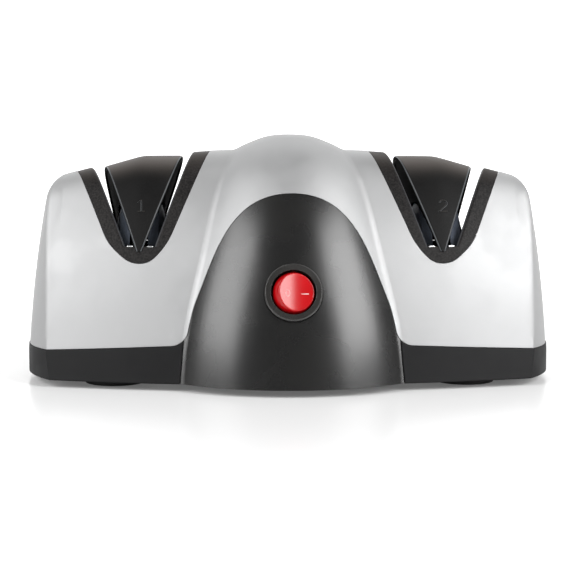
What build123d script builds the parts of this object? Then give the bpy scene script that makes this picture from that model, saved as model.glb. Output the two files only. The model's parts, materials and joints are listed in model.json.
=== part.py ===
"""Two-stage electric knife sharpener, modelled piece by piece.

Frame: millimetres, +Z up, X along the two sharpening heads, front (switch side) towards -Y.
The origin is the middle of the footprint, on the surface that the rubber feet stand on.
The right head (+X) is the fine stage and the left head (-X) the coarse stage.
"""
from build123d import *
from math import atan, atan2, cos, hypot, radians, sin, sqrt, tan
import os

os.makedirs("parts", exist_ok=True)

# ---------------------------------------------------------------- driving dimensions
# Casing
overall_width = 218.8          # shell, end to end
foot_height = 3.0              # casing underside above the table
shell_wall = 2.2               # wall of shell, panel and tray
crown_height = 95.0            # top line of the wings beside the dome
crown_level_half = 24.0        # the top line is level this far from the middle
crown_radius = 243.0           # and then curves down with this radius
wing_half_depth = 51.0         # front face to mid plane, at the underside
plan_radius = 320.0            # bow of the front and rear faces in plan
end_bow_radius = 60.0          # bow of the two ends in plan
shoulder_radius = 14.0         # end face into the top
end_waist = (105.8, 51.0)      # the end face passes through this x, z
end_top = (100.3, 83.4)        # and meets the sloping top line here
end_straight_height = 12.0     # the end face is upright up to here
shoulder_slope = 0.284         # fall of the top line where the shoulder starts
dome_height = 101.7            # top of the motor dome
dome_foot_radius = 65.0        # dome radius at the underside
crease_radius = 5.0            # hollow between wings and dome
# Seams
arch_height = 78.4             # top of the black front panel
arch_foot = (41.6, 23.6)       # where the arch runs into its corner curve
seam_start = (48.3, 17.8)      # seam between shell and base, beside the panel
seam_slope = 0.055             # the seam falls this much per mm outwards
panel_foot_half = 44.8         # half width of the front panel at the underside
panel_edge_top = 20.1          # its straight edge starts here, on the corner curve
base_proud = 0.4               # the base band stands out from the shell
seam_gap = 0.15                # parting line between casing pieces
# Sharpening heads
head_x = 61.5                  # middle of the V opening at the front
vee_bottom = 49.75             # lowest point of the V opening
vee_knee_out = 13.3            # half width of the V where its straight sides start
vee_knee_in = 13.4
vee_knee_rise = 12.7           # this far above the lowest point
vee_slope_out = 0.33           # outer side of the V, sideways per mm of height
vee_slope_in = 0.40            # inner side of the V
skew_out = 0.19                # outer slot runs outwards per mm towards the rear
skew_in = 0.06                 # inner slot runs inwards per mm towards the rear
guide_recess = 0.2             # guide frame lies this far under the shell surface
guide_edge_radius = 1.2        # rounding of its two edges along the slots
slot_floor = 56.4              # bottom of the knife slots
wall_out = (72.9, 0.310)       # outer slot wall: x at slot floor level on the mid plane, lean
wall_in = (53.4, -0.343)       # inner slot wall
flank_out = (68.7, 0.275)      # outer flank of the guide wedge
flank_in = (58.4, -0.375)      # inner flank of the guide wedge
wedge_crown = 92.7             # level top of the guide wedge
wedge_kink_x = 61.5            # the wedge top slopes down outwards from here
wedge_top_fall = 0.29          # that slope
wedge_blend = 2.0              # softness of that kink
wedge_pitch = 3.5              # spacing of the wedge's cross sections
wedge_sections = 9             # of them on each side of the kink
wedge_edge_radius = 0.9        # rounding of its long edges
wedge_wall = 2.4
wedge_lip = 1.8                # rim that stands around each hollowed flank
wedge_flank_depth = 1.0        # how deep the flank is hollowed
wedge_tip = 54.6               # lowest point of the wedge
strip_width = 2.3              # steel blade rests in the slot floors
strip_height = 0.5
strip_length = 8.0
# Drive
axis_z = 46.0                  # motor shaft above the table
shaft_radius = 3.0
shaft_half_length = 81.0
bush_clearance = 0.03          # radial running clearance in the bushes
bush_radius = 5.5
bush_length = 7.0
can_radius = 24.0
can_half_length = 31.0
can_wall = 1.6
bell_thickness = 4.0
bell_boss_radius = 8.0
magnet_air_gap = 0.7
core_radius = 14.5
core_half_length = 16.0
core_slots = 8
commutator_radius = 6.5
commutator_x = 23.5
commutator_length = 6.5
brush_width = 3.4
fan_x = -27.7
fan_radius = 18.0
fan_width = 5.0
fan_blades = 9
wheel_x = 62.0                 # middle of each pair of grinding wheels
wheel_radius = 27.5
wheel_rim_half = 7.9           # half width of the pair at the rim
wheel_cone = 0.28              # widening per mm towards the shaft
wheel_flat_radius = 13.0
wheel_plate = 4.2              # thickness of one wheel at its flat
wheel_clearance = 0.9          # free space around the wheels
hub_radius = 6.0
nut_across_flats = 10.0
nut_thickness = 4.0
collar_radius = 7.0
ring_thickness = 2.0           # rubber ring between motor and cradle
ring_width = 6.0
cradle_x = 24.0
cradle_width = 8.0
strap_thickness = 3.0
# Switch
switch_z = 40.3                # height of the switch on the panel
bezel_radius = 11.5
bezel_height = 1.4
bezel_seat = 1.2               # the bezel sits this far into the curved panel
panel_hole_radius = 10.1
panel_boss_depth = 4.0         # ring behind the panel that the switch clamps on
panel_boss_rim = 2.0
switch_body_radius = 9.9
switch_opening_radius = 8.95
switch_depth = 17.0
rocker_radius = 8.5
rocker_tilt = 14.0             # either way from level, in degrees
rocker_pivot_depth = 2.5
rocker_rise = 4.8              # rocker face above its pivot
rocker_edge_radius = 0.5
pin_radius = 1.0
pin_clearance = 0.06
rocker_skirt = 3.6             # rocker side wall below its pivot
rocker_dish = 0.8              # the face is hollowed this deep in the middle
plunger_radius = 1.5
plunger_top = -1.5             # heights from the rocker's pivot
plunger_length = 9.1
plunger_tip_radius = 0.9
bridge_depth = 12.0            # pivot of the contact bridge below the panel
bridge_tilt = 8.0              # the bridge arms rise this much and tip this much
bridge_half_length = 6.0
bridge_half_width = 2.0
bridge_thickness = 0.5
terminal_size = (0.8, 4.8)
terminal_x = 5.4
terminal_length = 8.0
clamp_screw_radius = 1.25
clamp_screw_length = 7.0       # depth of its hole in the post
# Small parts
foot_radius = 12.5
foot_peg_radius = 3.0
foot_x = 72.0
foot_y = 22.0
screw_head_radius = 3.2
screw_radius = 1.6
case_screw_spots = [(97.0, 14.0), (97.0, -14.0), (40.0, 32.0), (52.0, -33.0)]
case_screw_length = 26.0
boss_radius = 4.0
clamp_screw_y = 32.0
screw_head_sink = 2.0
vent_pitch = 6.0
vent_width = 2.4
board_size = (34.0, 16.0, 1.6)
board_inset = 21.5             # board and cord clamp, measured in from the foot of the dome
board_z = 10.0
board_post_radius = 2.0
gland_z = 10.2
gland_bore = 3.2
gland_neck = 4.2
gland_flange = 5.8
gland_lip = 2.0
gland_sink = 1.2               # its flat seat is sunk this deep into the round wall
clamp_inset = 9.0
clamp_post_x = 7.5
clamp_post_radius = 2.5
clamp_post_top = 14.0
clamp_thickness = 2.5
fit = 0.15                     # clearance between fixed pieces

half_width = overall_width / 2
board_y = dome_foot_radius - board_inset
cord_clamp_y = dome_foot_radius - clamp_inset
tray_floor_top = foot_height + shell_wall
axle = Axis((0, 0, axis_z), (1, 0, 0))
axle_plane = Plane(origin=(0, 0, axis_z), x_dir=(0, 1, 0), z_dir=(1, 0, 0))
shaft_section = Plane(origin=(0, 0, axis_z), x_dir=(1, 0, 0), z_dir=(0, -1, 0))


# ---------------------------------------------------------------- casing form
def crown_at(x):
    """Height of the wing's top line at x."""
    out = max(0.0, abs(x) - crown_level_half)
    return crown_height - out * out / (2 * crown_radius)


def half_depth_at(x):
    """Half depth of the wing at its underside, at x."""
    return wing_half_depth - x * x / (2 * plan_radius)


def wing_profile(x, depth, crown):
    """Closed side section of a wing: leaning faces that roll over the top."""
    height = crown - foot_height
    with BuildSketch(Plane.YZ.offset(x)) as section:
        with BuildLine():
            front = [(-depth, foot_height),
                     (-0.778 * depth, foot_height + 0.528 * height),
                     (-0.444 * depth, foot_height + 0.865 * height),
                     (0, crown)]
            rear = [(-y, z) for y, z in reversed(front)]
            Spline(*front, tangents=((0.2, 1), (1, 0)))
            Spline(*rear, tangents=((1, 0), (0.2, -1)))
            Line(rear[-1], front[0])
        make_face()
    return section.sketch


def end_trim(inset):
    """Space between the two bowed ends and their rounded shoulders, right half."""
    pivot_x = half_width - end_bow_radius
    reach = end_bow_radius - inset
    top = (end_top[0] - pivot_x - inset, end_top[1] - inset)
    with BuildPart() as trim:
        with BuildSketch(Plane(origin=(pivot_x, 0, 0), x_dir=(0, 1, 0), z_dir=(1, 0, 0))):
            with BuildLine():
                Polyline((0, 0), (reach, 0), (reach, end_straight_height))
                ThreePointArc((reach, end_straight_height),
                              (end_waist[0] - pivot_x - inset, end_waist[1]), top)
                Polyline(top, (0, top[1] + top[0] * shoulder_slope), (0, 0))
            make_face()
        revolve(axis=Axis((pivot_x, 0, 0), (0, 0, 1)))
        rims = trim.edges().filter_by(GeomType.CIRCLE)
        fillet(rims.sort_by(lambda e: abs(e.center().Z - top[1]))[0], shoulder_radius - inset)
        with BuildSketch(Plane.XY):
            with Locations((pivot_x / 2 - 5, 0)):
                Rectangle(pivot_x + 10, 4 * half_depth_at(0))
        extrude(amount=2 * crown_height)
    return trim.part


def wing_body(inset):
    """Both wings as one closed solid, drawn in by inset all round."""
    with BuildPart() as half:
        for x in (0, 38, 72, 96, half_width + 3):
            add(wing_profile(x, half_depth_at(x) - inset, crown_at(x) - inset))
        loft()
        add(end_trim(inset), mode=Mode.INTERSECT)
    with BuildPart() as both:
        add(half.part)
        mirror(half.part, about=Plane.YZ)
    return both.part


def dome_points(inset):
    """Side line of the dome, from its foot to its top."""
    return [(dome_foot_radius - inset, foot_height), (60.8 - inset, 25.0), (49.5 - inset, 58.0),
            (39.2 - 0.85 * inset, 77.5 - 0.4 * inset), (23.3 - 0.4 * inset, 95.0 - 0.85 * inset),
            (14.2 - 0.25 * inset, 99.3 - 0.97 * inset), (0, dome_height - inset)]


def dome_body(inset):
    """The motor dome, a round bell about Z."""
    with BuildPart() as dome:
        with BuildSketch(Plane.YZ):
            with BuildLine():
                side = dome_points(inset)
                Spline(*side, tangents=((-0.16, 1), (-1, 0)))
                Polyline(side[-1], (0, foot_height), side[0])
            make_face()
        revolve(axis=Axis.Z)
    return dome.part


def dome_radius_at(z):
    """Outer radius of the dome at height z."""
    with BuildLine() as side:
        Spline(*dome_points(0), tangents=((-0.16, 1), (-1, 0)))
    low, high = 0.0, 1.0
    while high - low > 1e-5:
        middle = (low + high) / 2
        if (side.edge() @ middle).Y < z:
            low = middle
        else:
            high = middle
    return (side.edge() @ low).X


def casing_body(inset):
    """Outline of the whole casing, drawn in by inset."""
    with BuildPart() as casing:
        add(wing_body(inset))
        add(dome_body(inset))
        creases = casing.edges().sort_by(SortBy.LENGTH)[-2:]
        fillet(creases, crease_radius + inset)
    return casing.part


def seam_height(x):
    """Height of the seam between shell and base at x."""
    return seam_start[1] - seam_slope * (abs(x) - seam_start[0])


def arch_wire(gap):
    """Right half of the arch from its top to its foot, drawn in by gap."""
    points = [(0, arch_height), (18.3, 72.3), (29.2, 58.0), (37.1, 39.0), arch_foot]
    return [(max(0, x - gap), z - gap if x == 0 else z - gap / 2) for x, z in points]


corner_chord = hypot(arch_foot[1] - seam_start[1], seam_start[0] - arch_foot[0])
corner_rise = atan2(arch_foot[1] - seam_start[1], seam_start[0] - arch_foot[0])
corner_steep = 2 * corner_rise - atan(seam_slope)
corner_radius = corner_chord / (2 * sin(corner_rise - atan(seam_slope)))
corner_centre = (seam_start[0] + corner_radius * sin(atan(seam_slope)),
                 seam_start[1] + corner_radius * cos(atan(seam_slope)))
arch_foot_direction = (cos(corner_steep), -sin(corner_steep))


def corner_point(z, gap):
    """Point at height z on the arc that leads from the arch into the seam, gap off it."""
    drop = corner_centre[1] - z
    return (corner_centre[0] - sqrt((corner_radius + gap) ** 2 - drop ** 2), z)


def below_seam(front):
    """Everything of the casing under the seam: with the arch at the front, level at the rear."""
    far = half_width + 5
    direction = -1 if front else 1
    with BuildPart() as region:
        with BuildSketch(Plane.XZ):
            with BuildLine():
                Polyline(seam_start, (far, seam_height(far)), (far, 0), (0, 0))
                if front:
                    TangentArc(seam_start, arch_foot, tangent=(-1, seam_slope))
                    Spline(*arch_wire(0), tangents=((1, 0), arch_foot_direction))
                    Line((0, arch_height), (0, 0))
                else:
                    Polyline(seam_start, (0, seam_start[1]), (0, 0))
            make_face()
        extrude(amount=-direction * 2 * wing_half_depth)
        mirror(about=Plane.YZ)
    return region.part


def panel_region(gap):
    """Prism whose outline is the front panel: arch above, straight sides below."""
    with BuildPart() as region:
        with BuildSketch(Plane.XZ):
            with BuildLine():
                arch = arch_wire(gap)
                Spline(*arch, tangents=((1, 0), arch_foot_direction))
                edge_top = corner_point(panel_edge_top, gap)
                TangentArc(arch[-1], edge_top, tangent=arch_foot_direction)
                Polyline(edge_top, (panel_foot_half - gap, foot_height),
                         (panel_foot_half - gap, 0), (0, 0), arch[0])
            make_face()
        extrude(amount=2 * wing_half_depth)
        mirror(about=Plane.YZ)
    return region.part


# ---------------------------------------------------------------- head form
depth_reach = 40.0             # head sections are drawn this far in front and behind


def head_loft(section):
    """Straight-line loft of a section function from in front to behind the casing."""
    with BuildPart() as body:
        add(section(-depth_reach))
        add(section(depth_reach))
        loft(ruled=True)
    return body.part


def vee_body(gap):
    """The V opening for one guide frame on the right, drawn in by gap."""
    reach = 62.0

    def section(y):
        out = skew_out * (y + 36) - gap
        inn = skew_in * (y + 36) - gap
        low = vee_bottom + gap
        with BuildSketch(Plane.XZ.offset(-y)) as outline:
            with BuildLine():
                right_knee = (head_x + vee_knee_out + out, low + vee_knee_rise)
                left_knee = (head_x - vee_knee_in - inn, low + vee_knee_rise)
                right_top = (right_knee[0] + vee_slope_out * reach, right_knee[1] + reach)
                left_top = (left_knee[0] - vee_slope_in * reach, left_knee[1] + reach)
                Spline(left_knee, (head_x - 7.9 - inn / 2, low + 3.9),
                       (head_x - 4.4, low + 1.0), (head_x - 0.4, low), (head_x + 4.2, low + 1.0),
                       (head_x + 7.9 + out / 2, low + 3.9), right_knee,
                       tangents=((vee_slope_in, -1), (vee_slope_out, 1)))
                Polyline(right_knee, right_top, left_top, left_knee)
            make_face()
        return outline.sketch

    return head_loft(section)


def plane_x(place, skew, y, z):
    """X of a leaning and skewed slot side at y, z."""
    return place[0] + place[1] * (z - slot_floor) + skew * y


def slot_body():
    """Free space between the two outer slot walls, above the slot floor."""
    def section(y):
        top = 2 * crown_height
        corners = [(plane_x(place, skew, y, z), z)
                   for place, skew, z in ((wall_in, -skew_in, slot_floor),
                                          (wall_out, skew_out, slot_floor),
                                          (wall_out, skew_out, top), (wall_in, -skew_in, top))]
        with BuildSketch(Plane.XZ.offset(-y)) as outline:
            with BuildLine():
                Polyline(*corners, close=True)
            make_face()
        return outline.sketch

    return head_loft(section)


def flank_body(inset):
    """V prism of the wedge between its two flanks, drawn in by inset."""
    def section(y):
        top = 2 * crown_height
        low = wedge_tip + 1.5 * inset
        low_in = plane_x(flank_in, -skew_in, y, low) + inset
        low_out = plane_x(flank_out, skew_out, y, low) - inset
        high_in = plane_x(flank_in, -skew_in, y, top) + inset
        high_out = plane_x(flank_out, skew_out, y, top) - inset
        if low_out - low_in < 0.6:
            middle = (low_in + low_out) / 2
            low_in, low_out = middle - 0.3, middle + 0.3
        with BuildSketch(Plane.XZ.offset(-y)) as outline:
            with BuildLine():
                Polyline((low_in, low), (low_out, low), (high_out, top), (high_in, top),
                         close=True)
            make_face()
        return outline.sketch

    return head_loft(section)


def wedge_crown_at(x):
    """Height of the wedge's top line at x: level, then sloping, with a soft kink."""
    out = x - wedge_kink_x
    return wedge_crown - wedge_top_fall * (out + hypot(out, wedge_blend)) / 2


def wedge_barrel(inset):
    """Rounded top and faces of the wedge, with the kink in its top line."""
    with BuildPart() as barrel:
        for step in range(-wedge_sections, wedge_sections + 1):
            x = wedge_kink_x + step * wedge_pitch
            add(wing_profile(x, half_depth_at(x) - inset, wedge_crown_at(x) - inset))
        loft()
    return barrel.part


def wedge_form(inset):
    """Outline of the guide wedge, drawn in by inset."""
    with BuildPart() as form:
        add(wedge_barrel(inset))
        add(flank_body(inset), mode=Mode.INTERSECT)
    return form.part


def wheel_profile(clear):
    """Outline of a pair of grinding wheels with free space around it, about the shaft."""
    flat_half = wheel_rim_half + wheel_cone * (wheel_radius - wheel_flat_radius)
    with BuildPart() as body:
        with BuildSketch(Plane(origin=(wheel_x, 0, axis_z), x_dir=(1, 0, 0), z_dir=(0, -1, 0))):
            with BuildLine():
                Polyline((-flat_half - clear, 0), (flat_half + clear, 0),
                         (flat_half + clear, wheel_flat_radius),
                         (wheel_rim_half + clear, wheel_radius + clear),
                         (-wheel_rim_half - clear, wheel_radius + clear),
                         (-flat_half - clear, wheel_flat_radius), close=True)
            make_face()
        revolve(axis=axle)
    return body.part


def turned(profile):
    """Solid of revolution about the shaft from a closed outline of (x, radius) points."""
    with BuildPart() as body:
        with BuildSketch(shaft_section):
            with BuildLine():
                Polyline(*profile, close=True)
            make_face()
        revolve(axis=axle)
    return body.part


def tube(x_start, x_end, inner, outer):
    """Plain ring about the shaft."""
    return turned([(x_start, inner), (x_end, inner), (x_end, outer), (x_start, outer)])


def coil_spring(plane, mean_radius, wire_radius, length, turns):
    """Compression spring along the normal of a plane, starting on it."""
    with BuildPart() as spring:
        with BuildLine(plane.offset(wire_radius)) as path:
            Helix(pitch=(length - 2 * wire_radius) / turns, height=length - 2 * wire_radius,
                  radius=mean_radius, direction=plane.z_dir)
        with BuildSketch(Plane(origin=path.line @ 0, z_dir=path.line % 0)):
            Circle(wire_radius)
        sweep(is_frenet=True)
    return spring.part


def finish(part, label):
    """Name a piece and write it."""
    part.label = label
    export_step(part, "parts/" + label + ".step")
    return part


casing = casing_body(0)
cavity = casing_body(shell_wall)
vee = vee_body(0)
lower_front = below_seam(True)
lower_rear = below_seam(False)
screw_spots = [(side * x, y) for x, y in case_screw_spots for side in (1, -1)]

# ---------------------------------------------------------------- upper shell
with BuildPart() as upper_shell:
    add(casing)
    add(cavity, mode=Mode.SUBTRACT)
    with BuildSketch():
        with Locations(*screw_spots):
            Circle(boss_radius)
    extrude(amount=crown_height)
    add(casing, mode=Mode.INTERSECT)
    with BuildSketch():
        with Locations(*screw_spots):
            Circle(screw_radius + fit)
    extrude(amount=foot_height + case_screw_length + 1, mode=Mode.SUBTRACT)
    add(lower_front, mode=Mode.SUBTRACT)
    add(lower_rear, mode=Mode.SUBTRACT)
    add(vee, mode=Mode.SUBTRACT)
    add(mirror(vee, about=Plane.YZ), mode=Mode.SUBTRACT)
finish(upper_shell.part, "upper_shell")

# ---------------------------------------------------------------- switch place
switch_reach = dome_radius_at(switch_z)
switch_lean = atan2(dome_radius_at(switch_z - 1) - dome_radius_at(switch_z + 1), 2)
switch_plane = Plane(origin=(0, -switch_reach, switch_z), x_dir=(1, 0, 0),
                     z_dir=(0, -cos(switch_lean), sin(switch_lean)))

# ---------------------------------------------------------------- front panel
with BuildPart() as front_panel:
    add(casing)
    add(cavity, mode=Mode.SUBTRACT)
    with BuildSketch(switch_plane.offset(-panel_boss_depth)):
        Circle(bezel_radius + panel_boss_rim)
    extrude(amount=panel_boss_depth)
    add(casing, mode=Mode.INTERSECT)
    add(panel_region(seam_gap), mode=Mode.INTERSECT)
    with BuildSketch(switch_plane.offset(-bezel_seat)):
        Circle(bezel_radius + fit)
    extrude(amount=2 * bezel_seat, mode=Mode.SUBTRACT)
    with BuildSketch(switch_plane.offset(-2 * panel_boss_depth)):
        Circle(panel_hole_radius)
    extrude(amount=2 * panel_boss_depth, mode=Mode.SUBTRACT)
finish(front_panel.part, "front_panel")

# ---------------------------------------------------------------- base tray
foot_spots = [(sx * foot_x, sy * foot_y) for sx in (1, -1) for sy in (1, -1)]
board_spots = [(sx * (board_size[0] / 2 - 2.5), board_y + sy * (board_size[1] / 2 - 2.5))
               for sx in (1, -1) for sy in (1, -1)]
clamp_spots = [(clamp_post_x, cord_clamp_y), (-clamp_post_x, cord_clamp_y)]
tray_outline = casing_body(-base_proud)
gland_seat = dome_radius_at(gland_z) + base_proud - gland_sink
floor_plane = Plane.XY.offset(foot_height)

with BuildPart() as under_seam:
    add(lower_front)
    add(lower_rear)
    with BuildSketch():
        Rectangle(3 * half_width, 3 * half_width)
    extrude(amount=arch_foot[1], mode=Mode.INTERSECT)
tray_space = Pos(0, 0, -seam_gap) * under_seam.part

with BuildPart() as panel_edge:
    add(panel_region(0))
    add(cavity, mode=Mode.SUBTRACT)

with BuildPart() as base_tray:
    add(tray_outline)
    add(cavity, mode=Mode.SUBTRACT)
    with BuildSketch(floor_plane):
        Rectangle(3 * half_width, 3 * half_width)
    extrude(amount=shell_wall)
    add(tray_outline, mode=Mode.INTERSECT)
    with BuildSketch(floor_plane):
        with Locations(*screw_spots):
            Circle(boss_radius)
    extrude(amount=seam_start[1])
    with BuildSketch(floor_plane):
        with Locations(*board_spots):
            Circle(board_post_radius)
    extrude(amount=board_z - foot_height)
    with BuildSketch(floor_plane):
        with Locations(*clamp_spots):
            Circle(clamp_post_radius)
    extrude(amount=clamp_post_top - foot_height)
    with BuildSketch(Plane.XZ.offset(-cord_clamp_y - clamp_post_radius)):
        with Locations((0, gland_z)):
            Circle(gland_flange + 0.8)
    extrude(amount=cord_clamp_y + clamp_post_radius - gland_seat)
    add(tray_space, mode=Mode.INTERSECT)
    add(panel_edge.part, mode=Mode.SUBTRACT)
    with BuildSketch(floor_plane):
        with Locations(*screw_spots):
            Circle(screw_head_radius + fit)
    extrude(amount=screw_head_sink, mode=Mode.SUBTRACT)
    with BuildSketch():
        with Locations(*screw_spots):
            Circle(screw_radius + fit)
        with Locations(*foot_spots):
            Circle(foot_peg_radius + 0.05)
        with GridLocations(vent_pitch, 0, 7, 1):
            Rectangle(vent_width, 26)
        for x in (head_x, -head_x):
            with Locations((x, 0)):
                with GridLocations(0, vent_pitch, 1, 5):
                    Rectangle(22, vent_width)
    extrude(amount=crown_height, mode=Mode.SUBTRACT)
    with BuildSketch(Plane.XZ.offset(-gland_seat)):
        with Locations((0, gland_z)):
            Circle(gland_flange + 0.8)
    extrude(amount=-dome_foot_radius, mode=Mode.SUBTRACT)
    with BuildSketch(Plane.XZ.offset(-cord_clamp_y)):
        with Locations((0, gland_z)):
            Circle(gland_neck + 0.05)
    extrude(amount=-dome_foot_radius, mode=Mode.SUBTRACT)
    with BuildSketch(Plane.XY.offset(clamp_post_top - clamp_screw_length)):
        with Locations(*clamp_spots):
            Circle(clamp_screw_radius + 0.05)
    extrude(amount=clamp_screw_length, mode=Mode.SUBTRACT)
finish(base_tray.part, "base_tray")

with BuildPart() as rubber_feet:
    with BuildSketch(Plane.XY):
        with Locations(*foot_spots):
            Circle(foot_radius)
    extrude(amount=foot_height)
    fillet(rubber_feet.faces().sort_by(Axis.Z)[0:4].edges(), 0.6)
    with BuildSketch(Plane.XY.offset(foot_height)):
        with Locations(*foot_spots):
            Circle(foot_peg_radius)
    extrude(amount=shell_wall + 0.2)
finish(rubber_feet.part, "rubber_feet")

with BuildPart() as case_screws:
    with BuildSketch(Plane.XY.offset(foot_height + 0.2)):
        with Locations(*screw_spots):
            Circle(screw_head_radius)
    extrude(amount=1.6)
    with BuildSketch(Plane.XY.offset(foot_height + 0.2)):
        with Locations(*screw_spots):
            Circle(screw_radius)
    extrude(amount=case_screw_length)
    with BuildSketch(Plane.XY.offset(foot_height + 0.2)):
        with Locations(*screw_spots):
            Rectangle(3.6, 0.8)
            Rectangle(0.8, 3.6)
    extrude(amount=0.9, mode=Mode.SUBTRACT)
finish(case_screws.part, "case_screws")

# ---------------------------------------------------------------- sharpening heads
guide_form = casing_body(guide_recess)
with BuildPart() as right_guide_frame:
    add(guide_form)
    add(vee_body(fit), mode=Mode.INTERSECT)
    add(slot_body(), mode=Mode.SUBTRACT)
    slot_rims = right_guide_frame.edges().filter_by_position(Axis.Z, slot_floor, crown_height)
    fillet(slot_rims.filter_by(lambda e: e.length > 80 and abs((e @ 0).Z - slot_floor) < fit),
           guide_edge_radius)
    add(wheel_profile(wheel_clearance), mode=Mode.SUBTRACT)
    add(flank_body(-fit), mode=Mode.SUBTRACT)

with BuildPart() as flank_hollows:
    add(wedge_barrel(wedge_lip))
    add(flank_body(wedge_flank_depth), mode=Mode.SUBTRACT)

with BuildPart() as right_guide_wedge:
    add(wedge_form(0))
    wedge_rims = right_guide_wedge.edges().filter_by(lambda e: e.length > crown_height)
    fillet(wedge_rims.filter_by(lambda e: abs(e.center().X - wedge_kink_x) > wedge_wall),
           wedge_edge_radius)
    add(flank_hollows.part, mode=Mode.SUBTRACT)
    add(wedge_form(wedge_wall), mode=Mode.SUBTRACT)
    add(wheel_profile(wheel_clearance), mode=Mode.SUBTRACT)

strip_y = 32.0
with BuildPart() as blade_rest_strips:
    for y in (-strip_y, strip_y):
        near_wall_in = plane_x(wall_in, -skew_in, y, slot_floor) + strip_width / 2 + 0.5
        near_wall_out = plane_x(wall_out, skew_out, y, slot_floor) - strip_width / 2 - 0.5
        for side in (1, -1):
            for x in (near_wall_in, near_wall_out):
                with BuildSketch(Plane.XY.offset(slot_floor)):
                    with Locations((side * x, y)):
                        Rectangle(strip_width, strip_length)
                extrude(amount=strip_height)
    add(guide_form, mode=Mode.INTERSECT)

finish(right_guide_frame.part, "right_guide_frame")
finish(mirror(right_guide_frame.part, about=Plane.YZ), "left_guide_frame")
finish(right_guide_wedge.part, "right_guide_wedge")
finish(mirror(right_guide_wedge.part, about=Plane.YZ), "left_guide_wedge")
finish(blade_rest_strips.part, "blade_rest_strips")

# ---------------------------------------------------------------- motor
bell_outer = can_half_length + bell_thickness
boss_outer = bell_outer + 6
bush_start = boss_outer - bush_length
pad_outer = can_half_length
pad_inner = commutator_x + commutator_length - 0.5
brush_x = commutator_x + commutator_length / 2
holder_size = (brush_width + 2.0, 5.0)
holder_start = commutator_radius + 2.5
holder_end = can_radius - can_wall - 1.5

with BuildPart() as motor_can:
    add(tube(-can_half_length, can_half_length, can_radius - can_wall, can_radius))
finish(motor_can.part, "motor_can")


def end_bell(side, pads):
    """End plate with the bush boss, on the side of the motor given by +1 or -1."""
    with BuildPart() as bell:
        add(turned([(side * can_half_length, bush_radius), (side * boss_outer, bush_radius),
                    (side * boss_outer, bell_boss_radius), (side * bell_outer, bell_boss_radius),
                    (side * bell_outer, can_radius), (side * can_half_length, can_radius)]))
        with BuildSketch(axle_plane.offset(side * can_half_length)):
            with PolarLocations(16, 6, start_angle=30):
                SlotOverall(9, 4)
        extrude(amount=side * bell_thickness, mode=Mode.SUBTRACT)
        if pads:
            with BuildSketch(axle_plane.offset(pad_inner)):
                with GridLocations(holder_start + holder_end, 0, 2, 1):
                    Rectangle(holder_end - holder_start, 7)
            extrude(amount=pad_outer - pad_inner)
    return bell.part


finish(end_bell(-1, False), "left_end_bell")
finish(end_bell(1, True), "right_end_bell")

with BuildPart() as motor_bushes:
    for side in (1, -1):
        add(tube(side * bush_start, side * boss_outer, shaft_radius + bush_clearance,
                 bush_radius))
finish(motor_bushes.part, "motor_bushes")

magnet_outer = can_radius - can_wall
magnet_inner = core_radius + magnet_air_gap
magnet_half_angle = 62.0
with BuildPart() as motor_magnets:
    with BuildSketch(axle_plane.offset(-core_half_length - 2)):
        Circle(magnet_outer)
        Circle(magnet_inner, mode=Mode.SUBTRACT)
        reach = 2 * magnet_outer
        with BuildLine():
            edge = (reach * cos(radians(90 - magnet_half_angle)),
                    reach * sin(radians(90 - magnet_half_angle)))
            Polyline((0, 0), edge, (edge[0], -edge[1]), close=True)
        make_face(mode=Mode.SUBTRACT)
        with BuildLine():
            Polyline((0, 0), (-edge[0], edge[1]), (-edge[0], -edge[1]), close=True)
        make_face(mode=Mode.SUBTRACT)
    extrude(amount=2 * core_half_length + 4)
finish(motor_magnets.part, "motor_magnets")

with BuildPart() as rotor_shaft:
    with BuildSketch(axle_plane.offset(-shaft_half_length)):
        Circle(shaft_radius)
    extrude(amount=2 * shaft_half_length)
    chamfer(rotor_shaft.edges().filter_by(GeomType.CIRCLE), 0.5)
finish(rotor_shaft.part, "rotor_shaft")

slot_root = 7.5
core_slot_width = 3.6
with BuildPart() as armature_core:
    with BuildSketch(axle_plane.offset(-core_half_length)):
        Circle(core_radius)
        Circle(shaft_radius, mode=Mode.SUBTRACT)
        with PolarLocations((slot_root + core_radius + 1) / 2, core_slots):
            Rectangle(core_radius + 1 - slot_root, core_slot_width, mode=Mode.SUBTRACT)
    extrude(amount=2 * core_half_length)
finish(armature_core.part, "armature_core")

winding_clear = 0.2
head_end = commutator_x - 1.0
with BuildPart() as armature_windings:
    with BuildSketch(axle_plane.offset(-core_half_length - winding_clear)):
        with PolarLocations((slot_root + winding_clear + core_radius - 1) / 2, core_slots):
            Rectangle(core_radius - 1 - slot_root - winding_clear,
                      core_slot_width - 2 * winding_clear)
    extrude(amount=2 * (core_half_length + winding_clear))
    for side in (1, -1):
        start = side * (core_half_length + winding_clear)
        end = side * head_end
        bend = side * (head_end - 2.5)
        add(turned([(start, shaft_radius + 1), (end, shaft_radius + 1), (end, 9.0),
                    (bend, core_radius - 1), (start, core_radius - 1)]))
finish(armature_windings.part, "armature_windings")

with BuildPart() as commutator:
    add(tube(commutator_x, commutator_x + commutator_length, shaft_radius, commutator_radius))
    with BuildSketch(axle_plane.offset(commutator_x)):
        with PolarLocations(commutator_radius, core_slots):
            Rectangle(1.4, 0.5)
    extrude(amount=commutator_length, mode=Mode.SUBTRACT)
finish(commutator.part, "commutator")

brush_face = commutator_radius + 0.1
with BuildPart() as carbon_brushes:
    for side in (1, -1):
        with BuildSketch(Plane(origin=(brush_x, side * brush_face, axis_z), x_dir=(1, 0, 0),
                               z_dir=(0, side, 0))):
            Rectangle(brush_width, 3.0)
        extrude(amount=9)
finish(carbon_brushes.part, "carbon_brushes")

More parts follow.
